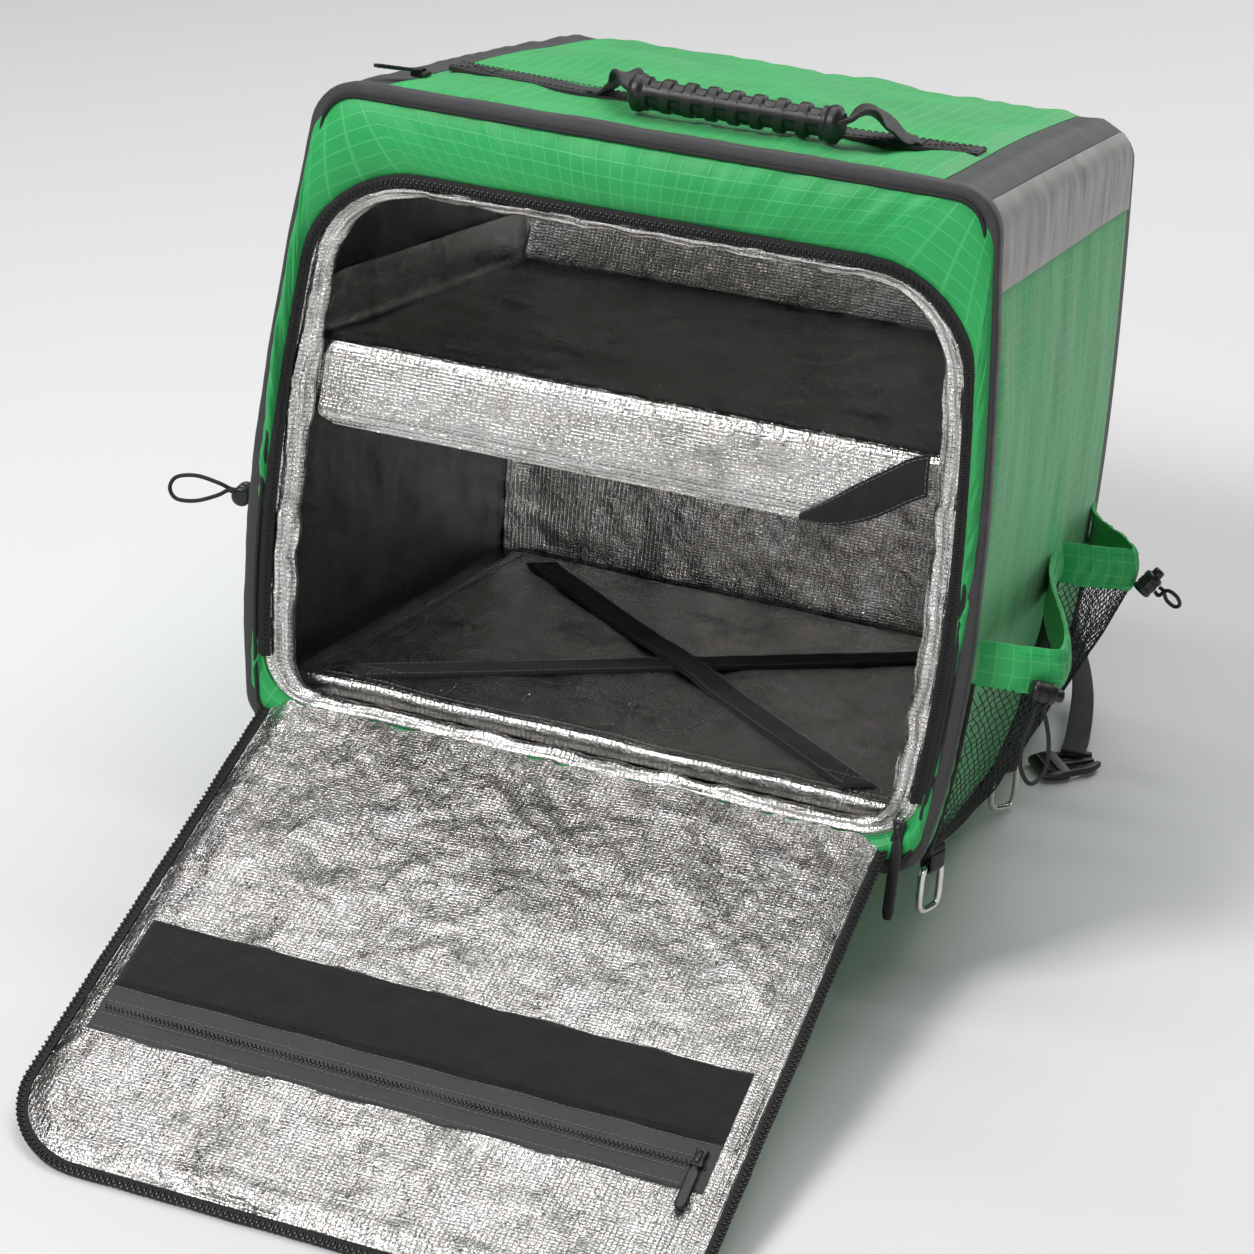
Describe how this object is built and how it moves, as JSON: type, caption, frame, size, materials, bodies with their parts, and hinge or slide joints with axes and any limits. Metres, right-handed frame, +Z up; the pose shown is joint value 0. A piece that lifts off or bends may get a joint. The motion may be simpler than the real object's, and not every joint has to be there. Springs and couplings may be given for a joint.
{
  "type": "cooler backpack",
  "caption": "Box-shaped insulated backpack with an open front flap, foil inside, a shelf, side net pockets and a grip on top.",
  "frame": {"origin": "bottom centre of the bounding box, cords and cord locks left out, on the floor under the bag", "axes": "+Z up, -Y is the bag's open front and the way its flap lies, +X is the bag's right as seen from the front. The bag leans back by 11.8 degrees"},
  "size_m": [0.6487, 0.9152, 0.533],
  "materials": {
    "ripstop": "green ripstop nylon, fine grid weave",
    "foil": "crinkled silver aluminised film over a woven scrim",
    "trim": "dark grey coated tape",
    "webbing": "black woven polyester",
    "net": "black mesh",
    "reflective": "silver-grey reflective tape",
    "plastic": "moulded black",
    "steel": "polished plated steel wire"
  },
  "bodies": {
    "root": {"back_panel": "ripstop", "base_panel": "ripstop", "cross_strap_lower": "webbing", "cross_strap_upper": "webbing", "edge_trim": "trim", "flap": "foil", "flap_loop_band": "webbing", "flap_pocket_slider": "plastic", "flap_pocket_zip": "trim", "flap_zip": "webbing", "floor_board": "foil", "foil_jamb": "foil", "foil_lining": "foil", "front_panel": "ripstop", "handle_grip": "plastic", "handle_webbing": "webbing", "hinge_slider": "plastic", "left_buckle_half": "plastic", "left_front_cord": "webbing", "left_front_cord_lock": "plastic", "left_front_hem": "ripstop", "left_front_net": "net", "left_front_ring": "steel", "left_front_ring_loop": "webbing", "left_rear_cord": "webbing", "left_rear_cord_lock": "plastic", "left_rear_hem": "ripstop", "left_rear_net": "net", "left_rear_ring": "steel", "left_rear_ring_loop": "webbing", "left_reflective_band": "reflective", "left_shoulder_strap": "webbing", "left_side_panel": "ripstop", "left_strap_webbing": "webbing", "left_waist_strap": "webbing", "left_zip_cover": "trim", "opening_zip": "webbing", "right_buckle_half": "plastic", "right_front_cord": "webbing", "right_front_cord_lock": "plastic", "right_front_hem": "ripstop", "right_front_net": "net", "right_front_ring": "steel", "right_front_ring_loop": "webbing", "right_rear_cord": "webbing", "right_rear_cord_lock": "plastic", "right_rear_hem": "ripstop", "right_rear_net": "net", "right_rear_ring": "steel", "right_rear_ring_loop": "webbing", "right_reflective_band": "reflective", "right_shoulder_strap": "webbing", "right_side_panel": "ripstop", "right_strap_webbing": "webbing", "right_waist_strap": "webbing", "right_zip_cover": "trim", "shelf": "foil", "shelf_tape": "webbing", "top_panel": "ripstop", "top_slider": "plastic"}
  },
  "joints": []
}
